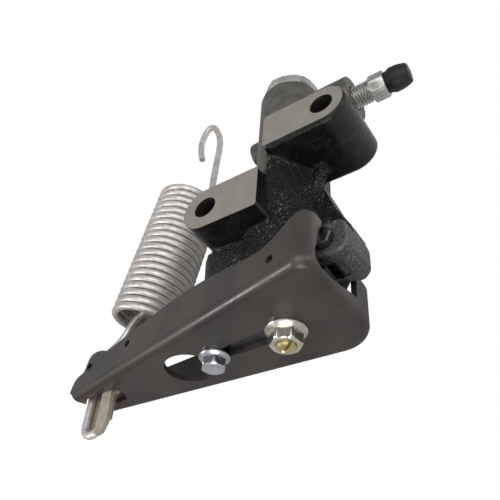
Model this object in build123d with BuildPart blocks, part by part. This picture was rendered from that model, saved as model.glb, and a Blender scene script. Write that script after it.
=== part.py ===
"""Brake load sensing valve: cast valve body, stepped piston, load lever, tension spring and bleeder.

Row frame, millimetres: the mounting pads lie on z = 0 and face +Z, the bore runs along Y with the end
plug at +Y, and the lever runs along X with its narrow tip at -X.
"""
import math
import os

from build123d import *

# Mounting ears
ear_dx = 29.0             # half the distance between the two frame bolts along X
ear_dy = 17.0             # half the distance between the two frame bolts along Y
ear_r = 11.6              # radius of each ear's round end
ear_hole_r = 5.5          # clearance hole for an M10 bolt
ear_depth = 34.0          # length of each ear behind its machined pad
pad_edge_x = (-0.7, -2.0) # inner edge of the upper and the lower pad

# Bore line and casting
bore_x = -8.0
bore_z = -36.0
barrel_r = 17.2           # outside of the cast barrel
barrel_top_y = 83.6
bore_r = 9.0
bore_top_y = barrel_top_y - 13.0
plug_bore_r = 11.5
mouth_r = 11.0            # counterbore that takes the guide bush and wiper seal
mouth_depth = 12.0
neck_front_z = -22.5
neck_right_x = 18.5
neck_waist_x = 12.8
neck_back_z = -41.0
rib_t = 4.5               # thickness of the rib at the neck's right side
rib_lip = 1.6             # how far the rib's edge stands proud
housing_left_x = -41.6
housing_right_x = 15.0
housing_top_y = -22.0
housing_slope_y = -41.0   # below this the front is upright, clear of the lever's flange
housing_low_y = -50.0
housing_back_z = -51.5
cast_r = 2.2              # casting radius on the outer edges

# Pivot lug on the casting
pin_x = 20.0
pin_y = -45.6
pin_r = 3.5
pin_head_af = 8.4
pin_head_h = 3.4
lug_front_z = -16.5
lug_back_z = -38.6
lug_end_x = 30.0
lug_spot_z = -37.0        # spot face under the pin's clip
lug_spot_r = 7.5
clip_t = 1.2              # pin's retaining clip
clip_seat = 0.7           # depth of its groove in the pin
lug_top_y = -36.6
lug_low_y = -53.0
pocket_z = -28.5          # middle of the pocket that takes the rocker's eye
pocket_w = 10.0
pocket_r = 7.4

# Ports
port_r = 4.5              # M10 x 1 pipe thread, minor size
port_depth = 9.5          # threaded length
port_boss_r = 9.4
side_boss_r = 7.0
side_port_y = barrel_top_y - 30.4
side_port_end_x = -30.2
rear_port_y = (34.0, -8.0)
rear_port_end_z = -58.5
seat_r = 4.2              # brass flare seat in its pocket below each thread
seat_h = 3.5
seat_taper = 24.0
passage_r = 1.4

# Bleeder
bleed_y = barrel_top_y - 19.8
bleed_boss_r = 12.2
bleed_boss_x = 30.5
bleed_r = 5.95            # M12 x 1.5 thread
thread_gap = 0.05
bleed_depth = 12.0
bleed_thread_x = 39.5     # end of the thread outside the boss
bleed_hex_af = 13.0
bleed_hex_x = 47.6
nipple_r = 3.6
nipple_x = 56.4
cap_r = 6.5
cap_neck_r = 5.6          # cap's radius against the hexagon
cap_end_x = 59.8
cap_gap = 0.35

# Piston and bore pieces
fit_gap = 0.05            # running fit, radial
stem_r = 7.0
stem_tip_y = -54.6
land_low_y = -30.0
land_top_y = 14.0
neck_stem_r = 4.0
head_low_y = 42.0
head_top_y = 46.0
head_r = 7.6
seal_groove = 1.8         # depth of the seal grooves
seal_w = 3.0
bush_len = 5.0
wiper_len = 3.0
clip_len = 1.5
clip_groove = 1.0
clip_gap = 5.0            # opening of the circlip
spring_seat_t = 3.0
coil_wire_r = 0.8
valve_seal_t = 4.0

# End plug
plug_hex_af = 30.5
plug_hex_h = 8.0
plug_hex_turn = -7.0
plug_lead = 1.4           # chamfer round the hexagon's top
gasket_t = 1.4

# Load lever
sheet = 2.6
web_y = -66.6             # outer face of the lever's web
flange_h = 20.6
lever_end_x = 21.6
lever_tip_x = -134.0
side_a_z0 = -5.07         # near flange's outer face at x = 0
side_a_slope = 0.2386
side_b_z0 = -64.2         # far flange's outer face at x = 0
side_b_slope = -0.0375
bend_r = 4.6
corner_a_r = 7.0
corner_b_r = 16.0
window_x = -62.0
window_z = -41.4
window_r = 11.5
end_strip_z = -41.3       # edge of the end strip that wraps round from the far flange
end_ear_z = lug_front_z + pin_head_h + 0.8   # edge of the near ear, clear of the pin's head
tip_pin_x = -120.8
tip_pin_y = -53.0
tip_pin_r = 2.2
tip_pin_wall = 0.9
far_flange_end_x = -126.6
tool_holes = ((3.2, -57.0), (-89.3, -53.5))
tool_hole_r = 1.9

# Rocker, adjuster and clamp
plate_t = 6.0
plate_end_r = 5.4
eye_r = 6.8
eye_w = 9.0
eye_bush_r = 4.6
clamp_x = -46.0
clamp_z = -38.7
clamp_r = 3.0
adjust_r = 4.0
adjust_end_y = -75.6
adjust_gap = 0.35         # between the adjuster's tip and the piston's stem
nut_flange_r = 8.95
nut_af = 12.6
nut_h = 7.8
bolt_flange_r = 7.1
bolt_af = 10.0
bolt_h = 6.4

# Load spring
wire_r = 1.95
coil_r = 16.05            # mean radius of the coil
spring_z = -45.0
coil_top = (-82.4, 53.6)
coil_low = (-99.6, -28.6)
coil_turns = 20
loop_x = -121.25
loop_r = 4.95
loop_y = -79.7
loop_end = 12.0           # how far the loop's free end stands up
tongue_z = -40.0          # near face of the nylon bush's tongue
tongue_t = 2.4
wall_t = 1.2

os.makedirs("parts", exist_ok=True)


def save(part, name):
    """Label one piece and write its STEP file."""
    part.label = name
    export_step(part, f"parts/{name}.step")


def down_from(y, x=0.0, z=0.0):
    """Plane at height y whose sketch axes are X and Z and which extrudes towards -Y."""
    return Plane(origin=(x, y, z), x_dir=(1, 0, 0), z_dir=(0, -1, 0))


def along_x(x, y=0.0, z=0.0):
    """Plane at x whose sketch axes are Y and Z and which extrudes towards +X."""
    return Plane(origin=(x, y, z), x_dir=(0, 1, 0), z_dir=(1, 0, 0))


def side_a(x, inset=0.0):
    """Z of the near flange at x, moved inward by inset."""
    return side_a_z0 + side_a_slope * x - inset * math.hypot(1, side_a_slope)


def side_b(x, inset=0.0):
    """Z of the far flange at x, moved inward by inset."""
    return side_b_z0 + side_b_slope * x + inset * math.hypot(1, side_b_slope)


bore_top = down_from(barrel_top_y, bore_x, bore_z)
barrel_len = barrel_top_y - housing_low_y
web_in_y = web_y + sheet
flange_top_y = web_y + flange_h
plate_top_y = web_in_y + plate_t
port_steps = ((port_r, port_depth), (seat_r, port_depth + seat_h))
ear_low_y = -ear_dy - ear_r
front_xs = (housing_left_x, -37.5, -29, -19, -14.5, -10.5, -2.3, 4, 9, housing_right_x)
housing_backs = (
    (housing_right_x, housing_back_z), (housing_left_x + cast_r, housing_back_z),
    (housing_left_x, housing_back_z + cast_r),
)

# Valve body: barrel, ears, neck, lower housing, pivot lug, port and bleeder bosses in one casting
with BuildPart() as valve_body:
    with BuildSketch(bore_top):
        Circle(barrel_r)
    extrude(amount=barrel_top_y - housing_top_y)
    # neck: a slanted front that falls back from the pads, lofted from the upper ear to the housing
    for neck_y, corners in (
        (ear_dy - ear_r, ((-1.6, -4.5), (3.6, -9.2), (6, -13), (8.5, -17.6), (11.3, -21.7), (11.3, -40), (-1.6, -40))),
        (housing_top_y, ((-3.4, -8), (-0.6, -10.6), (2.4, -13.8), (6.4, -17.4), (13, -20), (13, -40), (-3.4, -40))),
    ):
        with BuildSketch(down_from(neck_y)):
            Polygon(*corners, align=None)
    loft(ruled=True)
    # rib at the neck's right side, with a proud lip along its edge
    for front_z, depth, inner_x in (
        (neck_front_z, rib_t, 5), (neck_front_z + rib_lip, rib_lip + 1, neck_waist_x - 2.4),
    ):
        with BuildSketch(Plane.XY.offset(front_z - depth)):
            Polygon(
                (inner_x + 5, ear_dy - ear_r + 3), (neck_right_x, ear_dy - ear_r + 3),
                (neck_right_x, ear_dy - ear_r), (neck_waist_x, -11), (inner_x, -11), align=None,
            )
        extrude(amount=depth)
    # shoulder that runs from the upper ear down to the pivot lug
    with BuildSketch(Plane.XY.offset(neck_back_z)):
        Polygon(
            (bore_x - 12, ear_dy), (12, ear_dy), (12, 5), (17, -8), (20.6, -18), (27, -31), (29, -38),
            (bore_x - 12, -38), align=None,
        )
    extrude(amount=neck_front_z - rib_t - neck_back_z)
    # lower housing: its front steps back at the left and leans until it is clear of the lever's flange
    for house_y, fronts in (
        (ear_low_y, (-19.5, -15.6, -15.2, -16.4, -13.0, -11.6, -10.6, -13.5, -16.5, -20)),
        (housing_slope_y, (-20.5, -18.4, -17.2, -17.2, -14.4, -13.2, -12.4, -14.2, -17, -21)),
    ):
        with BuildSketch(down_from(house_y)):
            Polygon(*zip(front_xs, fronts), *housing_backs, align=None)
    loft(ruled=True)
    with BuildSketch(down_from(housing_slope_y)):
        Polygon(*zip(front_xs, fronts), *housing_backs, align=None)
    extrude(amount=housing_slope_y - housing_low_y)
    with BuildSketch(down_from(housing_top_y)):
        Polygon(
            (housing_left_x + 2, neck_front_z - 4), (-3.4, -12), (housing_right_x, -21), *housing_backs, align=None,
        )
    extrude(amount=housing_top_y - ear_low_y)
    # ears with their machined pads
    for side, edge_x in zip((1, -1), pad_edge_x):
        with BuildSketch(Plane.XY.offset(-ear_depth)):
            with Locations((side * ear_dx, side * ear_dy)):
                Circle(ear_r)
            with Locations(((side * ear_dx + edge_x) / 2, side * ear_dy)):
                Rectangle(abs(side * ear_dx - edge_x), 2 * ear_r)
        extrude(amount=ear_depth)
    # pivot lug
    with BuildSketch(Plane.XY.offset(lug_back_z)):
        with Locations(((12 + lug_end_x) / 2, (lug_top_y + lug_low_y) / 2)):
            Rectangle(lug_end_x - 12, lug_top_y - lug_low_y)
        fillet(vertices().group_by(Axis.X)[-1], 5)
    extrude(amount=lug_front_z - lug_back_z)
    # bleeder boss and side port boss
    with BuildSketch(along_x(bore_x, bleed_y, bore_z)):
        Circle(bleed_boss_r)
    extrude(amount=bleed_boss_x - bore_x)
    fillet(valve_body.edges().group_by(Axis.X)[-1], cast_r)
    with BuildSketch(along_x(side_port_end_x, side_port_y, bore_z)):
        Circle(side_boss_r)
    extrude(amount=bore_x - side_port_end_x)
    port_face = valve_body.faces().sort_by_distance((side_port_end_x, side_port_y, bore_z))[0]
    fillet(port_face.edges(), 1.6)
    # rear port bosses
    for port_y in rear_port_y:
        with BuildSketch(Plane.XY.offset(rear_port_end_z)):
            with Locations((bore_x, port_y)):
                Circle(port_boss_r)
        extrude(amount=bore_z - rear_port_end_z)
    # bore, counterbore, clip groove and plug thread
    with BuildSketch(bore_top):
        Circle(bore_r)
    extrude(amount=barrel_len, mode=Mode.SUBTRACT)
    with BuildSketch(bore_top):
        Circle(plug_bore_r)
    extrude(amount=barrel_top_y - bore_top_y, mode=Mode.SUBTRACT)
    with BuildSketch(down_from(housing_low_y + mouth_depth, bore_x, bore_z)):
        Circle(mouth_r)
    extrude(amount=mouth_depth, mode=Mode.SUBTRACT)
    clip_y = housing_low_y + mouth_depth - bush_len - wiper_len
    with BuildSketch(down_from(clip_y, bore_x, bore_z)):
        Circle(mouth_r + clip_groove)
    extrude(amount=clip_len, mode=Mode.SUBTRACT)
    # frame bolt holes, from the pad through the ear
    with BuildSketch(Plane.XY):
        with Locations((ear_dx, ear_dy), (-ear_dx, -ear_dy)):
            Circle(ear_hole_r)
    extrude(amount=housing_back_z - 2, mode=Mode.SUBTRACT)
    # bleeder hole and its drilling into the bore
    with BuildSketch(along_x(bleed_boss_x, bleed_y, bore_z)):
        Circle(bleed_r + thread_gap)
    extrude(amount=-bleed_depth, mode=Mode.SUBTRACT)
    with BuildSketch(along_x(bleed_boss_x - bleed_depth, bleed_y, bore_z)):
        Circle(passage_r)
    extrude(amount=bore_x - bleed_boss_x + bleed_depth, mode=Mode.SUBTRACT)
    # pipe ports and their drillings
    for radius, reach in port_steps:
        with BuildSketch(along_x(side_port_end_x, side_port_y, bore_z)):
            Circle(radius)
        extrude(amount=reach, mode=Mode.SUBTRACT)
    with BuildSketch(along_x(side_port_end_x, side_port_y, bore_z)):
        Circle(passage_r)
    extrude(amount=bore_x - side_port_end_x, mode=Mode.SUBTRACT)
    for port_y in rear_port_y:
        for radius, reach in port_steps:
            with BuildSketch(Plane.XY.offset(rear_port_end_z)):
                with Locations((bore_x, port_y)):
                    Circle(radius)
            extrude(amount=reach, mode=Mode.SUBTRACT)
        with BuildSketch(Plane.XY.offset(rear_port_end_z)):
            with Locations((bore_x, port_y)):
                Circle(passage_r)
        extrude(amount=bore_z - rear_port_end_z, mode=Mode.SUBTRACT)
    # pocket for the rocker's eye, open towards the lever, and the pivot hole
    with BuildSketch(Plane.XY.offset(pocket_z - pocket_w / 2)):
        with Locations((pin_x, pin_y)):
            Circle(pocket_r)
        Polygon(
            (pin_x, pin_y + pocket_r), (pin_x - 7, pin_y + pocket_r - 2), (4.5, housing_low_y + 1),
            (4.5, lug_low_y - 4), (pin_x - 4.5, lug_low_y - 4), (pin_x, pin_y - pocket_r), align=None,
        )
    extrude(amount=pocket_w, mode=Mode.SUBTRACT)
    with BuildSketch(Plane.XY.offset(lug_back_z)):
        with Locations((pin_x, pin_y)):
            Circle(pin_r)
    extrude(amount=lug_front_z - lug_back_z, mode=Mode.SUBTRACT)
    with BuildSketch(Plane.XY.offset(lug_spot_z)):
        with Locations((pin_x, pin_y)):
            Circle(lug_spot_r)
    extrude(amount=housing_back_z - lug_spot_z - 1, mode=Mode.SUBTRACT)
save(valve_body.part, "valve_body")

# End plug: hexagon over a threaded shank with a hollow end
with BuildPart() as end_plug:
    with BuildSketch(down_from(barrel_top_y + gasket_t + plug_hex_h, bore_x, bore_z)):
        RegularPolygon(plug_hex_af / 2, 6, major_radius=False, rotation=plug_hex_turn)
    extrude(amount=plug_hex_h)
    with BuildSketch(down_from(barrel_top_y + gasket_t, bore_x, bore_z)):
        Circle(plug_bore_r)
    extrude(amount=barrel_top_y + gasket_t - bore_top_y)
    with BuildSketch(down_from(bore_top_y + 8, bore_x, bore_z)):
        Circle(plug_bore_r - 4.5)
    extrude(amount=8, mode=Mode.SUBTRACT)
    chamfer(end_plug.faces().sort_by(Axis.Y)[-1].edges(), plug_lead)
save(end_plug.part, "end_plug")

# Copper gasket under the plug
with BuildPart() as plug_gasket:
    with BuildSketch(down_from(barrel_top_y + gasket_t, bore_x, bore_z)):
        Circle(plug_bore_r + 1.6)
        Circle(plug_bore_r, mode=Mode.SUBTRACT)
    extrude(amount=gasket_t)
save(plug_gasket.part, "plug_gasket")

# Brass flare seats, one at the bottom of each pipe port
with BuildPart() as port_seats:
    with BuildSketch(along_x(side_port_end_x + port_depth + seat_h, side_port_y, bore_z)):
        Circle(seat_r)
    extrude(amount=-seat_h, taper=seat_taper)
    with BuildSketch(along_x(side_port_end_x + port_depth, side_port_y, bore_z)):
        Circle(passage_r)
    extrude(amount=seat_h, mode=Mode.SUBTRACT)
    for port_y in rear_port_y:
        with BuildSketch(Plane.XY.offset(rear_port_end_z + port_depth + seat_h)):
            with Locations((bore_x, port_y)):
                Circle(seat_r)
        extrude(amount=-seat_h, taper=seat_taper)
        with BuildSketch(Plane.XY.offset(rear_port_end_z + port_depth)):
            with Locations((bore_x, port_y)):
                Circle(passage_r)
        extrude(amount=seat_h, mode=Mode.SUBTRACT)
save(port_seats.part, "port_seats")

# Guide bush in the mouth of the bore
with BuildPart() as guide_bush:
    with BuildSketch(down_from(housing_low_y + mouth_depth, bore_x, bore_z)):
        Circle(mouth_r)
        Circle(stem_r + fit_gap, mode=Mode.SUBTRACT)
    extrude(amount=bush_len)
save(guide_bush.part, "guide_bush")

# Wiper seal under the bush
with BuildPart() as wiper_seal:
    with BuildSketch(down_from(housing_low_y + mouth_depth - bush_len, bore_x, bore_z)):
        Circle(mouth_r)
        Circle(stem_r + fit_gap, mode=Mode.SUBTRACT)
    extrude(amount=wiper_len)
save(wiper_seal.part, "wiper_seal")

# Internal circlip that holds the bush and the seal
with BuildPart() as circlip:
    with BuildSketch(down_from(clip_y, bore_x, bore_z)):
        Circle(mouth_r + clip_groove)
        Circle(mouth_r - 1.8, mode=Mode.SUBTRACT)
        with Locations((0, mouth_r)):
            Rectangle(clip_gap, 8, mode=Mode.SUBTRACT)
    extrude(amount=clip_len)
save(circlip.part, "circlip")

# Valve seal that the piston's neck passes through
seal_low_y = (land_top_y + head_low_y) / 2
with BuildPart() as valve_seal:
    with BuildSketch(down_from(seal_low_y + valve_seal_t, bore_x, bore_z)):
        Circle(bore_r)
        Circle(neck_stem_r + 0.4, mode=Mode.SUBTRACT)
    extrude(amount=valve_seal_t)
save(valve_seal.part, "valve_seal")

# Spring seat under the plug
with BuildPart() as spring_seat:
    with BuildSketch(down_from(bore_top_y, bore_x, bore_z)):
        Circle(bore_r)
        Circle(neck_stem_r, mode=Mode.SUBTRACT)
    extrude(amount=spring_seat_t)
save(spring_seat.part, "spring_seat")

# Return spring between the piston's head and the spring seat, as a stack of joined turns
spring_room = bore_top_y - spring_seat_t - head_top_y
turns = 6
pitch = (spring_room - 2 * coil_wire_r) / turns
with BuildPart() as return_spring:
    with BuildSketch(Plane.XY.offset(bore_z)):
        for turn in range(turns):
            base = head_top_y + coil_wire_r + turn * pitch
            with Locations((bore_x + head_r - 1.2, base + pitch / 4)):
                Rectangle(2 * coil_wire_r, pitch / 2 + 0.02)
            with Locations((bore_x + head_r - 1.6, base + 3 * pitch / 4)):
                Rectangle(coil_wire_r, pitch / 2 + 0.02)
    revolve(axis=Axis((bore_x, 0, bore_z), (0, 1, 0)))
save(return_spring.part, "return_spring")

# Piston: guided stem, sealed land, neck and spring head
with BuildPart() as piston:
    with BuildSketch(Plane.XY.offset(bore_z)):
        with BuildLine():
            Polyline(
                (bore_x, stem_tip_y), (bore_x + stem_r - 1, stem_tip_y),
                (bore_x + stem_r, stem_tip_y + 1), (bore_x + stem_r, land_low_y),
                (bore_x + bore_r - fit_gap, land_low_y), (bore_x + bore_r - fit_gap, land_low_y + 6),
                (bore_x + bore_r - seal_groove, land_low_y + 6), (bore_x + bore_r - seal_groove, land_low_y + 6 + seal_w),
                (bore_x + bore_r - fit_gap, land_low_y + 6 + seal_w), (bore_x + bore_r - fit_gap, land_top_y - 9),
                (bore_x + bore_r - seal_groove, land_top_y - 9), (bore_x + bore_r - seal_groove, land_top_y - 9 + seal_w),
                (bore_x + bore_r - fit_gap, land_top_y - 9 + seal_w), (bore_x + bore_r - fit_gap, land_top_y),
                (bore_x + neck_stem_r, land_top_y), (bore_x + neck_stem_r, head_low_y),
                (bore_x + head_r, head_low_y), (bore_x + head_r, head_top_y),
                (bore_x + neck_stem_r, head_top_y), (bore_x + neck_stem_r, head_top_y + 5),
                (bore_x, head_top_y + 5), close=True,
            )
        make_face()
    revolve(axis=Axis((bore_x, 0, bore_z), (0, 1, 0)))
save(piston.part, "piston")

# Seal rings in the piston's grooves
with BuildPart() as piston_seals:
    for low in (land_low_y + 6, land_top_y - 9):
        with BuildSketch(down_from(low + seal_w, bore_x, bore_z)):
            Circle(bore_r - fit_gap)
            Circle(bore_r - seal_groove, mode=Mode.SUBTRACT)
        extrude(amount=seal_w)
save(piston_seals.part, "piston_seals")

# Pivot pin with a hexagon head against the lug
with BuildPart() as pivot_pin:
    with BuildSketch(Plane.XY.offset(lug_spot_z - 3)):
        with Locations((pin_x, pin_y)):
            Circle(pin_r)
    extrude(amount=lug_front_z - lug_spot_z + 3)
    with BuildSketch(Plane.XY.offset(lug_front_z)):
        with Locations((pin_x, pin_y)):
            RegularPolygon(pin_head_af / 2, 6, major_radius=False, rotation=10)
    extrude(amount=pin_head_h)
    chamfer(pivot_pin.faces().sort_by(Axis.Z)[-1].edges(), 0.5)
    with BuildSketch(Plane.XY.offset(lug_spot_z - clip_t - 0.5)):
        with Locations((pin_x, pin_y)):
            Circle(pin_r)
            Circle(pin_r - clip_seat, mode=Mode.SUBTRACT)
    extrude(amount=clip_t, mode=Mode.SUBTRACT)
save(pivot_pin.part, "pivot_pin")

# Retaining clip on the pin's far end
with BuildPart() as pin_clip:
    with BuildSketch(Plane.XY.offset(lug_spot_z - clip_t - 0.5)):
        with Locations((pin_x, pin_y)):
            Circle(pin_r + 2.4)
            Circle(pin_r - clip_seat, mode=Mode.SUBTRACT)
        with Locations((pin_x, pin_y - pin_r)):
            Rectangle(2 * pin_r - 1.6, 2 * pin_r, mode=Mode.SUBTRACT)
    extrude(amount=clip_t)
save(pin_clip.part, "pin_clip")

# Rocker: clamp plate on the lever's web and an eye that turns on the pivot pin
with BuildPart() as rocker:
    with BuildSketch(down_from(plate_top_y)):
        with Locations((clamp_x, clamp_z)):
            Circle(plate_end_r)
        Polygon(
            (clamp_x, clamp_z + plate_end_r), (bore_x - 8, bore_z + 8.5), (10, bore_z + 12.5), (10, bore_z - 8.5),
            (bore_x - 8, bore_z - 8.5), (clamp_x, clamp_z - plate_end_r), align=None,
        )
    extrude(amount=plate_t)
    with BuildSketch(Plane.XY.offset(pocket_z - eye_w / 2)):
        with Locations((pin_x, pin_y)):
            Circle(eye_r)
        Polygon(
            (pin_x - 3.5, pin_y + eye_r - 1.0), (pin_x - 7.5, pin_y), (2, housing_low_y - 5),
            (-3, plate_top_y), (-3, web_in_y), (10, web_in_y), (pin_x - 3.1, pin_y - eye_r + 0.8), align=None,
        )
    extrude(amount=eye_w)
    with BuildSketch(Plane.XY.offset(pocket_z - eye_w / 2)):
        with Locations((pin_x, pin_y)):
            Circle(eye_bush_r)
    extrude(amount=eye_w, mode=Mode.SUBTRACT)
    with BuildSketch(down_from(plate_top_y)):
        with Locations((bore_x, bore_z)):
            Circle(adjust_r)
        with Locations((clamp_x, clamp_z)):
            Circle(clamp_r)
    extrude(amount=plate_t, mode=Mode.SUBTRACT)
save(rocker.part, "rocker")

# Bronze bush pressed into the rocker's eye
with BuildPart() as rocker_bush:
    with BuildSketch(Plane.XY.offset(pocket_z - eye_w / 2)):
        with Locations((pin_x, pin_y)):
            Circle(eye_bush_r)
            Circle(pin_r + fit_gap, mode=Mode.SUBTRACT)
    extrude(amount=eye_w)
save(rocker_bush.part, "rocker_bush")


def lever_plan(inset):
    """Corners of the lever's plan, moved inward by inset."""
    tip = lever_tip_x - 6
    return (
        (tip, side_a(tip, inset)), (lever_end_x - inset, side_a(lever_end_x - inset, inset)),
        (lever_end_x - inset, side_b(lever_end_x - inset, inset)), (tip, side_b(tip, inset)),
    )


# Load lever: pressed channel that narrows to the tip, with slot, window, tip notch and open big end
with BuildPart() as lever_pan:
    with BuildSketch(down_from(web_y + flange_h + 8)):
        Polygon(*lever_plan(0), align=None)
    extrude(amount=flange_h + 8)
    end_edges = lever_pan.edges().filter_by(Axis.Y).group_by(Axis.X)[-1].sort_by(Axis.Z)
    fillet(end_edges[-1], corner_a_r)
    end_edges = lever_pan.edges().filter_by(Axis.Y).sort_by(Axis.Z)[:2].sort_by(Axis.X)
    fillet(end_edges[-1], corner_b_r)
    rim = lever_pan.faces().sort_by(Axis.Y)[0].edges().filter_by(lambda e: e.center().X > lever_tip_x - 5)
    fillet(rim, bend_r)
    with BuildPart(mode=Mode.PRIVATE) as hollow:
        with BuildSketch(down_from(web_y + flange_h + 9)):
            Polygon(*lever_plan(sheet), align=None)
        extrude(amount=flange_h + 9 - sheet)
        inner = hollow.edges().filter_by(Axis.Y).group_by(Axis.X)[-1].sort_by(Axis.Z)
        fillet(inner[-1], corner_a_r - sheet)
        inner = hollow.edges().filter_by(Axis.Y).sort_by(Axis.Z)[:2].sort_by(Axis.X)
        fillet(inner[-1], corner_b_r - sheet)
        rim = hollow.faces().sort_by(Axis.Y)[0].edges().filter_by(lambda e: e.center().X > lever_tip_x - 5)
        fillet(rim, bend_r - sheet)
    add(hollow.part, mode=Mode.SUBTRACT)
    # side profile of the flanges, with the tip ear and the ear at the big end
    with BuildSketch(Plane.XY.offset(-75)):
        with BuildLine():
            profile = Spline(
                (lever_tip_x + 10, web_y + 18), (lever_tip_x + 16, flange_top_y),
                (lever_tip_x + 22, web_y + 19), (lever_tip_x + 27, web_y + 16.6),
                tangents=((0.3, 1), (1, -0.5)),
            )
            Line(profile @ 1, (-88, flange_top_y - 2.2))
            top = Spline(
                (-88, flange_top_y - 2.2), (-42, flange_top_y + 0.8), (-12, flange_top_y - 2.6),
                (0, flange_top_y - 3), (6, flange_top_y - 0.8), (11, flange_top_y + 1.8),
                (16.6, flange_top_y + 5), (20, flange_top_y + 6.6), tangents=((1, 0.12), (1, 0.2)),
            )
            Polyline(
                top @ 1, (40, flange_top_y + 7.4), (40, 0), (lever_tip_x - 10, 0),
                (lever_tip_x - 10, web_y), (lever_tip_x, web_y),
            )
            Spline(
                (lever_tip_x, web_y), (lever_tip_x - 0.8, web_y + 6), (lever_tip_x + 2, web_y + 10.8),
                (lever_tip_x + 7, web_y + 12), profile @ 0, tangents=((-0.6, 1), (0.3, 1)),
            )
        make_face()
    extrude(amount=90, mode=Mode.SUBTRACT)
    # far flange ends earlier than the near one
    with BuildSketch(Plane.XY.offset(-75)):
        with Locations(((lever_tip_x - 10 + far_flange_end_x) / 2, web_y + 15)):
            Rectangle(far_flange_end_x - lever_tip_x + 10, 40)
    extrude(amount=75 - 46, mode=Mode.SUBTRACT)
    # opening in the big end that the pivot lug passes through
    with BuildSketch(along_x(lever_end_x - corner_a_r + 0.5)):
        Polygon(
            (-20, end_ear_z), (flange_top_y + 5.4, end_ear_z), (flange_top_y - 2, -9.4), (web_y + 9, -7),
            (web_y + 4.6, -7.4), (web_y + 3.2, -11), (web_y + 3.6, -19), (web_y + 5.2, -27),
            (web_y + 7.2, -33.7), (web_y + 8.8, end_strip_z), (-20, end_strip_z), align=None,
        )
    extrude(amount=20, mode=Mode.SUBTRACT)
    with BuildSketch(along_x(lever_end_x - corner_b_r - 2)):
        Polygon((flange_top_y + 0.4, -90), (-20, -90), (-20, -40), (flange_top_y + 0.4, -40), align=None)
    extrude(amount=40, mode=Mode.SUBTRACT)
    # window, slot, tip notch and the small tooling holes
    with BuildSketch(down_from(web_in_y + 1)):
        with Locations((window_x, window_z)):
            Circle(window_r)
        slot_dir = math.degrees(math.atan2(clamp_z - bore_z, clamp_x - bore_x))
        with Locations(Location(((bore_x - 13), bore_z - 0.9, 0), (0, 0, slot_dir))):
            SlotCenterToCenter(26, 2 * adjust_r + 0.6)
        with Locations(Location(((clamp_x - 2), clamp_z - 0.1, 0), (0, 0, slot_dir))):
            SlotCenterToCenter(26, 2 * clamp_r + 0.8)
        Polygon(
            (lever_tip_x - 9, -30), (lever_tip_x - 0.6, -33), (lever_tip_x + 0.5, -37.4), (lever_tip_x + 2.6, -41.4),
            (lever_tip_x + 4.2, -44.6), (-128.4, -42.6), (-125.4, -41), (-119.5, -40.2), (-107.3, -39.3),
            (-105.2, -41), (-104.8, -45), (-106.8, -50.2), (-120.9, -51), (-126.8, -56.6), (-127, -72),
            (lever_tip_x - 9, -72), align=None,
        )
    extrude(amount=sheet + 2, mode=Mode.SUBTRACT)
    with BuildSketch(Plane.XY.offset(-75)):
        with Locations(*tool_holes):
            Circle(tool_hole_r)
        with Locations((tip_pin_x, tip_pin_y)):
            Circle(tip_pin_r)
    extrude(amount=90, mode=Mode.SUBTRACT)
save(lever_pan.part, "lever_pan")

# Hollow roll pin across the lever's tip
tip_front_z = side_a(tip_pin_x) + 0.2
tip_back_z = side_b(tip_pin_x) - 0.2
with BuildPart() as tip_pin:
    with BuildSketch(Plane.XY.offset(tip_back_z)):
        with Locations((tip_pin_x, tip_pin_y)):
            Circle(tip_pin_r)
            Circle(tip_pin_r - tip_pin_wall, mode=Mode.SUBTRACT)
    extrude(amount=tip_front_z - tip_back_z)
save(tip_pin.part, "tip_pin")

# Flange nut that locks the adjuster
with BuildPart() as flange_nut:
    with BuildSketch(down_from(web_y, bore_x, bore_z)):
        Circle(nut_flange_r)
    extrude(amount=1.1)
    with BuildSketch(down_from(web_y - 1.1, bore_x, bore_z)):
        Circle(nut_flange_r)
    extrude(amount=1.6, taper=45)
    with BuildSketch(down_from(web_y, bore_x, bore_z)):
        RegularPolygon(nut_af / 2, 6, major_radius=False, rotation=8)
    extrude(amount=nut_h)
    with BuildSketch(down_from(web_y, bore_x, bore_z)):
        Circle(adjust_r)
    extrude(amount=nut_h, mode=Mode.SUBTRACT)
save(flange_nut.part, "flange_nut")

# Adjuster screw: slotted end outside, domed tip under the piston
adjust_tip_y = stem_tip_y - adjust_gap
with BuildPart() as adjuster_screw:
    with BuildSketch(down_from(adjust_tip_y, bore_x, bore_z)):
        Circle(adjust_r)
    extrude(amount=adjust_tip_y - adjust_end_y)
    fillet(adjuster_screw.edges().group_by(Axis.Y)[-1], 1.4)
    chamfer(adjuster_screw.edges().group_by(Axis.Y)[0], 0.6)
    with BuildSketch(down_from(adjust_end_y + 1.8, bore_x, bore_z)):
        Rectangle(1.4, 10, rotation=-55)
    extrude(amount=3, mode=Mode.SUBTRACT)
save(adjuster_screw.part, "adjuster_screw")

# Flange bolt that clamps the lever to the rocker
with BuildPart() as clamp_bolt:
    with BuildSketch(down_from(plate_top_y, clamp_x, clamp_z)):
        Circle(clamp_r)
    extrude(amount=plate_top_y - web_y)
    with BuildSketch(down_from(web_y, clamp_x, clamp_z)):
        Circle(bolt_flange_r)
    extrude(amount=1.0)
    with BuildSketch(down_from(web_y - 1.0, clamp_x, clamp_z)):
        Circle(bolt_flange_r)
    extrude(amount=1.2, taper=45)
    with BuildSketch(down_from(web_y, clamp_x, clamp_z)):
        RegularPolygon(bolt_af / 2, 6, major_radius=False, rotation=20)
    extrude(amount=bolt_h)
    chamfer(clamp_bolt.faces().sort_by(Axis.Y)[0].edges(), 0.5)
save(clamp_bolt.part, "clamp_bolt")

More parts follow.
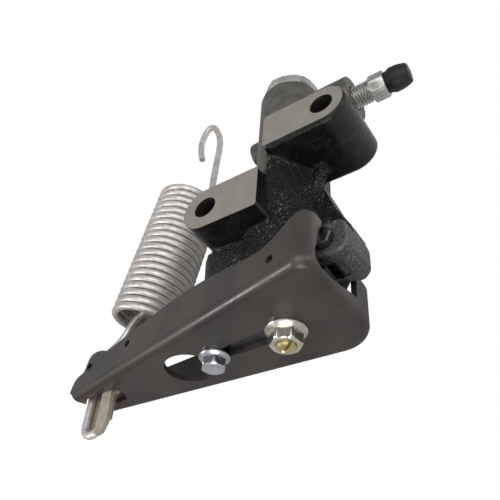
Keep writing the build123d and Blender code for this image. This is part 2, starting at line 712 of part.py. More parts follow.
# Load spring: ridged coil with a long lower loop round the tip pin and an open upper hook
axis_dx = coil_top[0] - coil_low[0]
axis_dy = coil_top[1] - coil_low[1]
coil_len = math.hypot(axis_dx, axis_dy)
lean = math.degrees(math.atan2(axis_dx, axis_dy))
coil_plane = Plane(
    origin=(coil_low[0], coil_low[1], spring_z),
    x_dir=(math.cos(math.radians(lean)), -math.sin(math.radians(lean)), 0), z_dir=(0, 0, 1),
)
outer_r = coil_r + wire_r
inner_r = coil_r - wire_r
ridge = coil_len / coil_turns
ridge_h = 1.2
outline = [(inner_r, 0)]
for turn in range(coil_turns):
    outline.append((outer_r - ridge_h, turn * ridge))
    outline.append((outer_r, (turn + 0.5) * ridge))
outline.append((outer_r - ridge_h, coil_len))
outline.append((inner_r, coil_len))


def in_spring_plane(base, *offsets):
    """Points in the spring's plane, each given as X and Y from base."""
    return [(base[0] + dx, base[1] + dy, spring_z) for dx, dy in offsets]


with BuildPart() as load_spring:
    with BuildSketch(coil_plane):
        Polygon(*outline, align=None)
    revolve(axis=Axis(coil_plane.origin, coil_plane.y_dir))
    with BuildLine() as upper_path:
        rise = Spline(
            *in_spring_plane(coil_top, (15.6, -6), (16.2, 12.6), (17, 34.6), (14.4, 56.8), (7.2, 65), (2, 57.6),
                             (1.8, 46.6), (3.6, 35.8)),
            tangents=((0.1, 1, 0), (0.2, -1, 0)),
        )
    with BuildSketch(Plane(origin=rise @ 0, z_dir=rise % 0)):
        Circle(wire_r)
    sweep(path=upper_path.wires()[0])
    loop_start = (loop_x - loop_r - coil_low[0], tip_pin_y - 4 - coil_low[1])
    with BuildLine() as lower_path:
        drop = Spline(
            *in_spring_plane(coil_low, (16.4, 6.6), (4, 9.2), (-8, 6), (-15.6, -6), loop_start),
            tangents=((-1, 0.1, 0), (0, -1, 0)),
        )
    with BuildSketch(Plane(origin=drop @ 0, z_dir=drop % 0)):
        Circle(wire_r)
    sweep(path=lower_path.wires()[0])
    with BuildSketch(down_from(tip_pin_y - 4, loop_x - loop_r, spring_z)):
        Circle(wire_r)
    extrude(amount=tip_pin_y - 4 - loop_y)
    with BuildSketch(down_from(loop_y, loop_x - loop_r, spring_z)):
        Circle(wire_r)
    revolve(axis=Axis((loop_x, loop_y, spring_z), (0, 0, 1)), revolution_arc=180)
    with BuildSketch(down_from(loop_y + loop_end, loop_x + loop_r, spring_z)):
        Circle(wire_r)
    extrude(amount=loop_end)
save(load_spring.part, "load_spring")

# Nylon bush in the tip notch: a head on the web, a tongue beside the loop and a wall behind its strands
with BuildPart() as hook_bush:
    tongue_x = loop_x + loop_r + wire_r + 0.3
    behind_z = spring_z - wire_r - 0.3
    with BuildSketch(down_from(web_in_y + 3.0)):
        Polygon(
            (tongue_x, -38), (-106, -36.8), (-104.6, -39.4), (-108.6, -46.4), (tongue_x, -48.6), align=None,
        )
    extrude(amount=2.9)
    with BuildSketch(Plane.XY.offset(tongue_z - tongue_t)):
        Polygon(
            (tongue_x, web_in_y + 0.2), (-108.4, web_in_y + 0.2), (-108.4, web_y), (-107.2, web_y - 10.7),
            (-107.7, web_y - 15.7), (-109.6, web_y - 20.3), (-112.4, web_y - 21.2), (tongue_x, web_y - 20.6),
            align=None,
        )
    extrude(amount=tongue_t)
    with BuildSketch(Plane.XY.offset(behind_z - wall_t)):
        Polygon(
            (tongue_x, web_in_y + 1.5), (tongue_x + 1, web_in_y + 1.5), (tongue_x + 1, web_y - 10),
            (loop_x + 2.5, web_y - 13.5), (loop_x, web_y - 15), (loop_x - 1.6, web_y - 12),
            (loop_x - 1.6, web_y - 3), (tongue_x, web_y - 3), align=None,
        )
    extrude(amount=wall_t)
save(hook_bush.part, "hook_bush")

# Bleeder screw with hexagon and hose nipple
with BuildPart() as bleeder_screw:
    with BuildSketch(along_x(bleed_boss_x - bleed_depth + 2, bleed_y, bore_z)):
        Circle(bleed_r)
    extrude(amount=bleed_thread_x - bleed_boss_x + bleed_depth - 2)
    with BuildSketch(along_x(bleed_thread_x, bleed_y, bore_z)):
        RegularPolygon(bleed_hex_af / 2, 6, major_radius=False, rotation=12)
    extrude(amount=bleed_hex_x - bleed_thread_x)
    with BuildSketch(along_x(bleed_hex_x, bleed_y, bore_z)):
        Circle(nipple_r)
    extrude(amount=nipple_x - bleed_hex_x)
    with BuildSketch(along_x(nipple_x - 3.5, bleed_y, bore_z)):
        Circle(nipple_r + 0.6)
    extrude(amount=1.5)
save(bleeder_screw.part, "bleeder_screw")

# Rubber cap over the nipple, widening to its end
with BuildPart() as bleeder_cap:
    cap_start_x = bleed_hex_x + 0.2
    with BuildSketch(Plane.XY.offset(bore_z)):
        Polygon(
            (cap_start_x, bleed_y), (cap_start_x, bleed_y + cap_neck_r), (cap_end_x - 5, bleed_y + cap_r),
            (cap_end_x - 0.8, bleed_y + cap_r), (cap_end_x, bleed_y + cap_r - 0.8), (cap_end_x, bleed_y), align=None,
        )
    revolve(axis=Axis((0, bleed_y, bore_z), (1, 0, 0)))
    with BuildSketch(along_x(cap_start_x, bleed_y, bore_z)):
        Circle(nipple_r + 0.6 + cap_gap)
    extrude(amount=nipple_x - cap_start_x + 0.8, mode=Mode.SUBTRACT)
save(bleeder_cap.part, "bleeder_cap")
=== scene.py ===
"""Looks of a brake load sensing valve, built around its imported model.

The valve hangs by two machined ears. A pressed lever turns on a lug of the casting, a close-wound spring
pulls the lever's narrow tip, and a bleeder stands out of the barrel. In the model's frame +Z points out of
the machined pads, +Y along the bore towards the end plug and -X towards the lever's tip. Lengths are in
millimetres, those of the table and the lamps in metres.
"""

import logging
import math
from collections.abc import Iterator
from contextlib import contextmanager
from dataclasses import dataclass, field
from enum import Enum, IntEnum
from functools import cache

import bmesh
import bpy
import numpy as np
from mathutils import Matrix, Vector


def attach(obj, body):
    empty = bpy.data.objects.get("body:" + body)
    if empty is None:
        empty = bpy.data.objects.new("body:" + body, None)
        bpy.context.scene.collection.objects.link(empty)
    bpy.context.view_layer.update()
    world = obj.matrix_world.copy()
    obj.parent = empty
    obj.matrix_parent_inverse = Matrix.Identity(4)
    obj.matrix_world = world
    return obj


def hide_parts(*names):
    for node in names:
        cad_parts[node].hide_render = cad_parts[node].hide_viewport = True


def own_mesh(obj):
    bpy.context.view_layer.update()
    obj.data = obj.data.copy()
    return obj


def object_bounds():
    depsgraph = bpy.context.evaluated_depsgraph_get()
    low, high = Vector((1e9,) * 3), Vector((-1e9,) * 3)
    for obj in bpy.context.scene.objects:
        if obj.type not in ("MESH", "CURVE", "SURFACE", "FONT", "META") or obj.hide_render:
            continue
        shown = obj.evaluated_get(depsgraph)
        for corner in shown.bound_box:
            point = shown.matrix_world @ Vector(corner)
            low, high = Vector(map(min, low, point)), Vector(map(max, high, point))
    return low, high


Mesh = bpy.types.Mesh
Node = bpy.types.Node
Tree = bpy.types.NodeTree
Socket = bpy.types.NodeSocket

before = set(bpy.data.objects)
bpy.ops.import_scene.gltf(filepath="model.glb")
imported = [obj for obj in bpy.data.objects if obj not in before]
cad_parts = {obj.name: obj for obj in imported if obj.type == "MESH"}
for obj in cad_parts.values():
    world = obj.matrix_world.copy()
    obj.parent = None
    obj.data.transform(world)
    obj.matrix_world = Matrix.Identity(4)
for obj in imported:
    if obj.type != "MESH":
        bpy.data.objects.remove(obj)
CAD_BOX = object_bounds()
MM = 0.001
BORE = (-8.0, -36.0)  # x and z of the bore's axis
SIDES = 96  # corners of a turned circle
SEAM = 1e-7  # metres within which two points are one
DOME = (0.18, 0.86)  # height and inner ring's width of a wire's cut end, as shares of its radius
WHITE = (1.0, 1.0, 1.0, 1.0)
# octaves of noise: for soft or small patches, for most patches, and for sand
FEW, USUAL, MANY = 2.0, 4.0, 6.0

logging.basicConfig(level=logging.INFO, format="%(message)s")
log = logging.getLogger("valve")


class Axis(Enum):
    """Directions that turned pieces stand along."""

    PLUS_X = (1.0, 0.0, 0.0)
    PLUS_Y = (0.0, 1.0, 0.0)
    MINUS_Y = (0.0, -1.0, 0.0)
    PLUS_Z = (0.0, 0.0, 1.0)


class Grain(Enum):
    """How a metal surface was made, which sets the way its fine marks run."""

    PLATED = "plated"
    TURNED = "turned"
    MILLED = "milled"


class Levels(Enum):
    """Noise levels that become 0 and 1 in a mask: the closer together, the harder its edges."""

    DRIFT = (0.42, 0.60)
    PAINT = (0.40, 0.66)
    SPECKS = (0.60, 0.68)
    ZONES = (0.46, 0.60)
    SAND = (0.25, 0.75)
    GLOSS = (0.35, 0.70)
    RUBS = (0.45, 0.75)
    PEEL = (0.2, 0.8)
    TOOTH = (0.3, 0.7)


class Skin(IntEnum):
    """The casting's material slots."""

    PAINTED = 0
    PAD = 1
    BARREL = 2
    LUG = 3
    DRILLED = 4
    COARSE = 5


@dataclass(frozen=True)
class Marks:
    """A metal's fine marks: octaves of noise, strength of the relief, and how much duller they are."""

    octaves: float
    strength: float
    duller: float


FROST = Marks(3.0, 0.15, 0.02)
LINES = Marks(FEW, 0.4, 0.10)
LINE_KEEP = 0.04  # share of its pitch that a line keeps along its own direction


def linear(code: str) -> tuple:
    """Turn an sRGB hex code into linear red, green, blue and alpha.

    Args:
        code: six hex digits after a hash sign.

    Returns:
        Four linear values from 0 to 1.
    """
    srgb = np.array([int(code[i:i + 2], 16) for i in (1, 3, 5)]) / 255.0
    low, high = srgb / 12.92, ((srgb + 0.055) / 1.055) ** 2.4
    return tuple(float(v) for v in np.where(srgb <= 0.04045, low, high)) + (1.0,)


def add_node(tree: Tree, kind: str, inputs: dict | None = None, **settings) -> Node:
    """Add one shader node with its settings and links.

    Args:
        tree: the material's node tree.
        kind: Blender's name for the node.
        inputs: socket name or index, mapped to a constant or to another node's output socket.
        **settings: attributes of the node itself.

    Returns:
        The new node.
    """
    node = tree.nodes.new(kind)
    for key, value in settings.items():
        setattr(node, key, value)
    for key, value in (inputs or {}).items():
        if isinstance(value, Socket):
            tree.links.new(value, node.inputs[key])
        else:
            node.inputs[key].default_value = value
    return node


def mapped(tree: Tree, value: Socket, source: tuple, target: tuple = (0.0, 1.0), **settings) -> Socket:
    """Carry a value from one range onto another, held at both ends.

    Args:
        tree: the material's node tree.
        value: the socket to read.
        source: first and last value that it reads.
        target: what these two become.
        **settings: attributes of the node itself.

    Returns:
        The socket of the result.
    """
    return add_node(tree, "ShaderNodeMapRange", {
        "Value": value, "From Min": source[0], "From Max": source[1],
        "To Min": target[0], "To Max": target[1],
    }, **settings).outputs[0]


def blend(tree: Tree, share: Socket, first: object, second: object) -> Socket:
    """Mix two colours, each a constant or a socket, by a share of 0 to 1."""
    return add_node(tree, "ShaderNodeMix", {0: share, 6: first, 7: second}, data_type="RGBA").outputs[2]


def times(tree: Tree, first: Socket, second: object) -> Socket:
    """Multiply a socket's value by a constant or by another socket's value."""
    return add_node(tree, "ShaderNodeMath", {0: first, 1: second}, operation="MULTIPLY").outputs[0]


def empty_tree(owner: bpy.types.ID) -> Tree:
    """Let a material or a world use nodes, and return its tree with nothing in it."""
    owner.use_nodes = True
    owner.node_tree.nodes.clear()
    return owner.node_tree


def stand(name: str, data: bpy.types.ID) -> bpy.types.Object:
    """Make an object of some data and link it to the scene."""
    made = bpy.data.objects.new(name, data)
    bpy.context.scene.collection.objects.link(made)
    return made


@contextmanager
def editing(mesh: Mesh) -> Iterator[bmesh.types.BMesh]:
    """Open a mesh for editing, and write the result back into it."""
    edit = bmesh.new()
    edit.from_mesh(mesh)
    yield edit
    edit.to_mesh(mesh)
    edit.free()


def vectors(items: bpy.types.bpy_prop_collection, name: str) -> np.ndarray:
    """Read one vector of every item, such as a face's normal, into rows of three."""
    flat = np.empty(len(items) * 3, np.float32)
    items.foreach_get(name, flat)
    return flat.reshape(-1, 3).astype(float)


def points_of(mesh: Mesh) -> np.ndarray:
    """Positions of a mesh's points, in millimetres."""
    return vectors(mesh.vertices, "co") / MM


def move_points(mesh: Mesh, points: np.ndarray) -> None:
    """Put a mesh's points at new positions, given in millimetres."""
    mesh.vertices.foreach_set("co", (points * MM).astype(np.float32).ravel())


@dataclass(frozen=True)
class Finish:
    """Base of every finish: a name, two colours that a noise mixes, and the shader's fixed values."""

    name: str
    colour: str
    second: str
    metallic: float
    roughness: float
    patch_mm: float = 6.0
    reflectance: float = 0.5

    def material(self) -> bpy.types.Material:
        """Make the material with its shader, then let the finish dress it."""
        made = bpy.data.materials.new(self.name)
        tree = empty_tree(made)
        out = add_node(tree, "ShaderNodeOutputMaterial")
        shader = add_node(tree, "ShaderNodeBsdfPrincipled", {
            "Metallic": self.metallic, "Roughness": self.roughness, "Base Color": linear(self.colour),
            "Specular IOR Level": self.reflectance,
        })
        tree.links.new(shader.outputs["BSDF"], out.inputs["Surface"])
        self.dress(tree, shader)
        return made

    def dress(self, tree: Tree, shader: Node) -> None:
        """Mix the two colours in soft patches over the surface."""
        tree.links.new(self.two_tone(tree, Levels.DRIFT), shader.inputs["Base Color"])

    def two_tone(self, tree: Tree, levels: Levels) -> Socket:
        """The finish's two colours, mixed by patches of its own width."""
        mask = self.patches(tree, self.patch_mm, levels)
        return blend(tree, mask, linear(self.colour), linear(self.second))

    def patches(self, tree: Tree, size_mm: float, levels: Levels, detail: float = USUAL) -> Socket:
        """Noise on Object coordinates, stretched so that it runs from 0 to 1 between two levels.

        Args:
            tree: the material's node tree.
            size_mm: width of one patch on the real surface.
            levels: noise levels that become 0 and 1.
            detail: octaves of finer noise.

        Returns:
            The mask's socket.
        """
        spot = add_node(tree, "ShaderNodeTexCoord")
        noise = add_node(tree, "ShaderNodeTexNoise", {
            "Vector": spot.outputs["Object"], "Scale": 1.0 / (size_mm * MM), "Detail": detail,
        })
        return mapped(tree, noise.outputs["Fac"], levels.value)

    def bump(self, tree: Tree, shader: Node, height: Socket,
             depth_mm: float, strength: float) -> None:
        """Lead a height of 0 to 1 into the shader's normal as a relief of depth_mm."""
        relief = add_node(tree, "ShaderNodeBump", {
            "Height": height, "Distance": depth_mm * MM, "Strength": strength,
        })
        tree.links.new(relief.outputs["Normal"], shader.inputs["Normal"])

    def vary_gloss(self, tree: Tree, shader: Node, mask: Socket,
                   change: tuple, source: tuple = (0.0, 1.0)) -> None:
        """Change the roughness by one amount where a mask is lowest and by another where it is highest."""
        rough = mapped(tree, mask, source, (self.roughness + change[0], self.roughness + change[1]))
        tree.links.new(rough, shader.inputs["Roughness"])


@dataclass(frozen=True)
class SandCasting(Finish):
    """Sand-cast iron under brushed gloss enamel: grain of the sand shows as fine bright points.

    Where the surface curves most, a pale grey is mixed in: partly iron where the paint is worn, partly a
    painted highlight. Sparse pale specks in some zones are partly dusty pits, partly painted glints.
    """

    grain_mm: float = 0.9
    grain_depth_mm: float = 0.25
    relief: float = 0.8
    # pale grey on sharp curves and in sparse specks: partly worn paint and dusty pits, partly painted
    # highlights and glints
    edge: str = "#6f6a64"
    edge_share: float = 0.5
    edge_from: float = 0.56
    edge_fade: float = 0.14
    dust_and_glint_share: float = 0.15
    speck_mm: float = 0.8
    zone_mm: float = 12.0
    gloss_mm: float = 2.2
    gloss_change: tuple = (-0.10, 0.16)

    def dress(self, tree: Tree, shader: Node) -> None:
        """Paint patches, pale curves and specks that are partly wear and dusty pits and partly painted
        highlights and glints, and a sand relief.
        """
        # pale grey mixed in by curvature and in sparse specks: partly wear, partly painted highlight and
        # painted glints
        bare = linear(self.edge)
        curve = add_node(tree, "ShaderNodeNewGeometry").outputs["Pointiness"]
        ridge = mapped(tree, curve, (self.edge_from, self.edge_from + self.edge_fade), (0.0, self.edge_share))
        wear_and_highlight = blend(tree, ridge, self.two_tone(tree, Levels.PAINT), bare)
        specks = self.patches(tree, self.speck_mm, Levels.SPECKS, FEW)
        zones = self.patches(tree, self.zone_mm, Levels.ZONES, FEW)
        dusty_and_glinting = blend(tree, times(tree, times(tree, specks, zones), self.dust_and_glint_share), wear_and_highlight, bare)
        tree.links.new(dusty_and_glinting, shader.inputs["Base Color"])
        sand = self.patches(tree, self.grain_mm, Levels.SAND, MANY)
        self.bump(tree, shader, sand, self.grain_depth_mm, self.relief)
        self.vary_gloss(tree, shader, self.patches(tree, self.gloss_mm, Levels.GLOSS), self.gloss_change)


@dataclass(frozen=True)
class Metal(Finish):
    """Bare or plated metal whose fine marks follow how it was made."""

    grain: Grain = Grain.PLATED
    line_mm: float = 0.25
    depth_mm: float = 0.02
    along: tuple = (1.0, 0.0, 0.0)
    brighter: float = -0.02

    def dress(self, tree: Tree, shader: Node) -> None:
        """Colour patches, and lines or a frosting in the relief and the roughness."""
        super().dress(tree, shader)
        plated = self.grain is Grain.PLATED
        marks = FROST if plated else LINES
        spot = add_node(tree, "ShaderNodeTexCoord").outputs["Object"]
        pitch = 1.0 / (self.line_mm * MM)
        if not plated:
            stretch = [pitch * (LINE_KEEP if part else 1.0) for part in self.along]
            spot = add_node(tree, "ShaderNodeMapping", {"Vector": spot, "Scale": stretch}).outputs["Vector"]
            pitch = 1.0
        noise = add_node(tree, "ShaderNodeTexNoise", {
            "Vector": spot, "Scale": pitch, "Detail": marks.octaves,
        })
        self.bump(tree, shader, noise.outputs["Fac"], self.depth_mm, marks.strength)
        self.vary_gloss(tree, shader, noise.outputs["Fac"], (self.brighter, marks.duller), Levels.TOOTH.value)


@dataclass(frozen=True)
class Enamel(Finish):
    """Dip paint baked on pressed sheet: an even satin film with faint orange peel and a few rub marks."""

    peel_mm: float = 0.8
    peel_depth_mm: float = 0.02
    relief: float = 0.6
    rub_mm: float = 14.0
    rub_change: tuple = (-0.05, 0.10)

    def dress(self, tree: Tree, shader: Node) -> None:
        """Soft patches, the film's peel, and rubs that dull it."""
        super().dress(tree, shader)
        peel = self.patches(tree, self.peel_mm, Levels.PEEL, FEW)
        self.bump(tree, shader, peel, self.peel_depth_mm, self.relief)
        self.vary_gloss(tree, shader, self.patches(tree, self.rub_mm, Levels.RUBS), self.rub_change)


@dataclass(frozen=True)
class Moulded(Finish):
    """Moulded rubber or nylon: matt skin with a very fine tooth."""

    tooth_mm: float = 0.35
    tooth_depth_mm: float = 0.03
    relief: float = 0.5

    def dress(self, tree: Tree, shader: Node) -> None:
        """Faint patches and the mould's fine tooth."""
        super().dress(tree, shader)
        tooth = self.patches(tree, self.tooth_mm, Levels.TOOTH, FEW)
        self.bump(tree, shader, tooth, self.tooth_depth_mm, self.relief)


FINISHES = {
    # black brushed enamel over sand-cast iron: deep black, soft wet highlights, almost smooth
    "casting": SandCasting(
        "gloss enamel on cast iron", "#09090b", "#131315", 0.0, 0.30, reflectance=0.3, grain_depth_mm=0.07),
    # the same enamel on the neck's and housing's coarse skin: broken highlights, grey where worn, and pale
    # ridges and specks that are partly painted glints
    "rough casting": SandCasting(
        "enamel on coarse sand skin", "#040405", "#121211", 0.0, 0.22, 2.4, reflectance=0.28,
        grain_depth_mm=0.9, edge="#a39d94", edge_share=0.9, edge_from=0.54, dust_and_glint_share=0.55),
    # thin dull paint on the pivot lug: neutral grey iron shows through; its pale edges and specks are partly
    # a painted highlight
    "bare casting": SandCasting(
        "thin paint on cast iron", "#2c2b29", "#4d4b48", 0.1, 0.50, 1.2, grain_mm=0.7, grain_depth_mm=0.35,
        edge="#b4b1aa", edge_share=0.8, edge_from=0.53, dust_and_glint_share=0.35),
    # milled cast iron, left bare: even brownish grey with fine cutter lines
    "pad": Metal("milled cast iron", "#807a73", "#86807a", 0.25, 0.55, 9.0, grain=Grain.MILLED, line_mm=0.3),
    # turned cast iron under a breath of paint: smooth olive grey
    "barrel": Metal(
        "turned cast iron", "#4a4844", "#5a5852", 0.3, 0.50, 6.0, grain=Grain.TURNED, line_mm=0.5,
        along=(0.0, 1.0, 0.0)),
    # hole walls: drilled iron, painted dark as the shade inside the holes
    "drilled": Metal("drilled cast iron", "#201e1d", "#2b2927", 0.5, 0.5, 3.0, grain=Grain.TURNED),
    # dipped black paint on pressed steel: satin, a touch warm
    "black_paint": Enamel("satin dip paint on steel", "#36312e", "#2d2927", 0.0, 0.36, 22.0),
    # bright zinc plate: cool white metal, nearly clear of frosting
    "zinc": Metal("zinc plated steel", "#d6d7de", "#c8c9d0", 1.0, 0.28, 6.0, line_mm=2.0, depth_mm=0.008),
    # the nut's plate has yellowed a little: bright and warm
    "warm_zinc": Metal(
        "warm zinc plated steel", "#e4dfd3", "#d2ccbe", 1.0, 0.27, 6.0, line_mm=2.0, depth_mm=0.008),
    # worn plate on the bleeder: satin grey
    "satin_zinc": Metal(
        "satin zinc plated steel", "#a6a8a4", "#979995", 0.9, 0.38, 6.0, line_mm=2.0, depth_mm=0.01),
    # yellow passivated zinc: muted straw with paler drifts
    "yellow_zinc": Metal("yellow zinc plated steel", "#b3a470", "#c2b68a", 0.8, 0.36, 1.6, line_mm=0.5),
    # grey zinc on the end plug, duller than the nut
    "plug": Metal("dull zinc plated steel", "#9fa09b", "#90918c", 0.4, 0.50, 6.0, line_mm=0.6, depth_mm=0.01),
    # hot galvanised drawn wire: pale satin
    "galvanised_wire": Metal(
        "galvanised spring wire", "#cdc9c5", "#bab6b2", 0.7, 0.46, 3.0, line_mm=0.4, depth_mm=0.01),
    "spring_steel": Metal("dark spring steel", "#4c4c4e", "#5c5c5e", 1.0, 0.38, 3.0, line_mm=0.4),
    "steel": Metal("turned steel", "#7d7e81", "#6c6d70", 1.0, 0.36, 4.0, grain=Grain.TURNED),
    "copper": Metal("soft copper", "#b06a45", "#94583a", 1.0, 0.38, 4.0, line_mm=0.4),
    "brass": Metal("turned brass", "#b8964f", "#a48445", 1.0, 0.32, 3.0, grain=Grain.TURNED),
    "bronze": Metal("sintered bronze", "#8d6a3f", "#76572f", 1.0, 0.48, 1.2, line_mm=0.4),
    # moulded rubber: almost black, matt
    "rubber": Moulded("moulded rubber", "#101014", "#15151a", 0.0, 0.50, 6.0, reflectance=0.3),
    "seal_rubber": Moulded("nitrile rubber", "#121214", "#1a1a1c", 0.0, 0.58, 4.0),
    # natural nylon, stained by grease: warm greyish beige
    "nylon": Moulded("natural nylon", "#968d81", "#8b8276", 0.0, 0.42, 4.0),
}


@cache
def painted(name: str) -> bpy.types.Material:
    """The material of one finish, made on first use."""
    return FINISHES[name].material()


def grid_faces(rows: int, cols: int, wrap_rows: bool, wrap_cols: bool) -> np.ndarray:
    """Corner numbers of the quads between neighbouring points of a grid.

    Args:
        rows: points along the first parameter.
        cols: points along the second parameter.
        wrap_rows: whether the last row joins the first.
        wrap_cols: whether the last column joins the first.

    Returns:
        One row of four corner numbers for each quad.
    """
    i, j = np.meshgrid(np.arange(rows if wrap_rows else rows - 1),
                       np.arange(cols if wrap_cols else cols - 1), indexing="ij")
    i_next, j_next = (i + 1) % rows, (j + 1) % cols
    corners = np.stack([i * cols + j, i_next * cols + j, i_next * cols + j_next, i * cols + j_next], -1)
    return corners.reshape(-1, 4)


def mesh_from(name: str, points: np.ndarray, faces: np.ndarray, sharp_deg: float) -> Mesh:
    """Put whole arrays into a mesh, close its seams and poles, and turn its faces outwards.

    Args:
        name: the mesh's name.
        points: positions in metres, one row each.
        faces: corner numbers, one face to a row.
        sharp_deg: an edge that bends by more than this stays sharp.

    Returns:
        The finished mesh.
    """
    mesh = bpy.data.meshes.new(name)
    mesh.vertices.add(len(points))
    mesh.vertices.foreach_set("co", points.astype(np.float32).ravel())
    mesh.loops.add(faces.size)
    mesh.loops.foreach_set("vertex_index", faces.astype(np.int32).ravel())
    mesh.polygons.add(len(faces))
    mesh.polygons.foreach_set("loop_start", np.arange(len(faces), dtype=np.int32) * faces.shape[1])
    mesh.update(calc_edges=True)
    with editing(mesh) as edit:
        bmesh.ops.remove_doubles(edit, verts=edit.verts, dist=SEAM)
        bmesh.ops.recalc_face_normals(edit, faces=edit.faces)
    mesh.shade_smooth()
    mesh.set_sharp_from_angle(angle=math.radians(sharp_deg))
    return mesh


def place(mesh: Mesh, paints: tuple, body: str, slot: str, *nodes: str) -> bpy.types.Object:
    """Link a mesh as a piece that rides on a body and stands for its solids.

    Args:
        mesh: the piece's mesh, in the model's frame.
        paints: names of the finishes, in the order of the mesh's material slots.
        body: the body it rides on.
        slot: the record's material slot; not used.
        *nodes: the solids it replaces.

    Returns:
        The piece's object.
    """
    piece = stand(mesh.name, mesh)
    for paint in paints:
        mesh.materials.append(painted(paint))
    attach(piece, body)
    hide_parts(*nodes)
    log.info("piece %s: %d faces, rides on %s", piece.name, len(mesh.polygons), body)
    return piece


def across(axis: np.ndarray) -> tuple:
    """Two unit directions square to an axis, so that the three form a right-handed set."""
    steep = abs(axis[2]) >= 0.9
    hint = np.array([1.0, 0.0, 0.0] if steep else [0.0, 0.0, 1.0])
    first = np.cross(hint, axis)
    first /= np.linalg.norm(first)
    return first, np.cross(axis, first)


def turned(name: str, origin: tuple, axis: Axis, heights: np.ndarray, radii: np.ndarray,
           closed: bool = False, sharp_deg: float = 35.0) -> Mesh:
    """Surface of height and angle about an axis: origin + height x axis + radius x turned direction.

    Args:
        name: the mesh's name.
        origin: a point on the axis.
        axis: which way the heights run.
        heights: height of each row.
        radii: radius of each row, or of each row and angle.
        closed: whether the last row joins the first, as round a hole.
        sharp_deg: an edge that bends by more than this stays sharp.

    Returns:
        The mesh.
    """
    radii = radii[:, None] if radii.ndim == 1 else radii
    sides = SIDES if radii.shape[1] == 1 else radii.shape[1]
    angle = np.arange(sides) * 2 * math.pi / sides
    up = np.array(axis.value)
    first, second = across(up)
    around = np.cos(angle)[:, None] * first + np.sin(angle)[:, None] * second
    radii = np.broadcast_to(radii, (len(heights), sides))
    points = np.array(origin) + heights[:, None, None] * up + radii[..., None] * around
    faces = grid_faces(len(heights), sides, closed, True)
    return mesh_from(name, points.reshape(-1, 3) * MM, faces, sharp_deg)


def hexagon(sides: int, across_flats: float, turn_deg: float) -> np.ndarray:
    """Radius of a hexagon at each of many angles: half its width over the cosine from a flat's middle."""
    angle = np.arange(sides) * 2 * math.pi / sides - math.radians(turn_deg)
    off = (angle + math.pi / 6) % (math.pi / 3) - math.pi / 6
    return across_flats / 2 / np.cos(off)


def smooth_path(points: np.ndarray, steps: int) -> np.ndarray:
    """Catmull-Rom curve: each span is a cubic whose end slopes are half the step between its neighbours.

    Args:
        points: points that the curve passes through, one row each.
        steps: samples in each span.

    Returns:
        The sampled curve.
    """
    padded = np.vstack([2 * points[0] - points[1], points, 2 * points[-1] - points[-2]])
    before, start, end, after = padded[:-3], padded[1:-2], padded[2:-1], padded[3:]
    t = (np.arange(steps) / steps)[None, :, None]
    slope_in, slope_out = (end - before) / 2, (after - start) / 2
    hermite = ((2 * t ** 3 - 3 * t ** 2 + 1) * start[:, None] + (t ** 3 - 2 * t ** 2 + t) * slope_in[:, None]
               + (3 * t ** 2 - 2 * t ** 3) * end[:, None] + (t ** 3 - t ** 2) * slope_out[:, None])
    return np.vstack([hermite.reshape(-1, points.shape[1]), points[-1]])


def carried_frames(path: np.ndarray) -> tuple:
    """Two directions square to a path at each of its points, turning no more than the path makes them.

    Each station first gets a direction from a fixed hint. The least rotation from one tangent to the next
    shows how far that direction slips between stations, and the summed slips are turned back out.

    Args:
        path: points along the path, one row each.

    Returns:
        First and second cross directions, one row for each point.
    """
    tangent = np.gradient(path, axis=0)
    tangent /= np.linalg.norm(tangent, axis=1, keepdims=True)
    steep = np.abs(tangent[:, 2:3]) >= 0.8
    hint = np.where(steep, [[1.0, 0.0, 0.0]], [[0.0, 0.0, 1.0]])
    first = hint - (hint * tangent).sum(1, keepdims=True) * tangent
    first /= np.linalg.norm(first, axis=1, keepdims=True)
    second = np.cross(tangent, first)
    swing = np.cross(tangent[:-1], tangent[1:])
    cosine = (tangent[:-1] * tangent[1:]).sum(1, keepdims=True)
    moved = (first[:-1] * cosine + np.cross(swing, first[:-1])
             + swing * (swing * first[:-1]).sum(1, keepdims=True) / (1 + cosine))
    slip = np.arctan2((moved * second[1:]).sum(1), (moved * first[1:]).sum(1))
    turn = np.concatenate([[0.0], np.cumsum(slip)])[:, None]
    return np.cos(turn) * first + np.sin(turn) * second, np.cos(turn) * second - np.sin(turn) * first


def wire(name: str, path: np.ndarray, radius: float, sides: int = 14,
         sharp_deg: float = 50.0) -> Mesh:
    """Round wire along a path: point = station + radius x a direction that turns square to the path.

    Both ends are closed by a slightly domed cut: two more rows, one narrower and one of no width.
    """
    high, wide = DOME
    first, second = carried_frames(path)
    angle = np.arange(sides) * 2 * math.pi / sides
    around = np.cos(angle)[None, :, None] * first[:, None] + np.sin(angle)[None, :, None] * second[:, None]
    body = path[:, None] + radius * around
    heel, toe = path[0] - path[1], path[-1] - path[-2]
    heel, toe = heel / np.linalg.norm(heel), toe / np.linalg.norm(toe)
    ends = [(path[0], heel, around[0]), (path[-1], toe, around[-1])]
    caps = [[at + high * radius * out + share * radius * ring for share in (0.0, wide)]
            for at, out, ring in ends]
    points = np.concatenate([np.array(caps[0]), body, np.array(caps[1])[::-1]])
    faces = grid_faces(len(points), sides, False, True)
    return mesh_from(name, points.reshape(-1, 3) * MM, faces, sharp_deg)


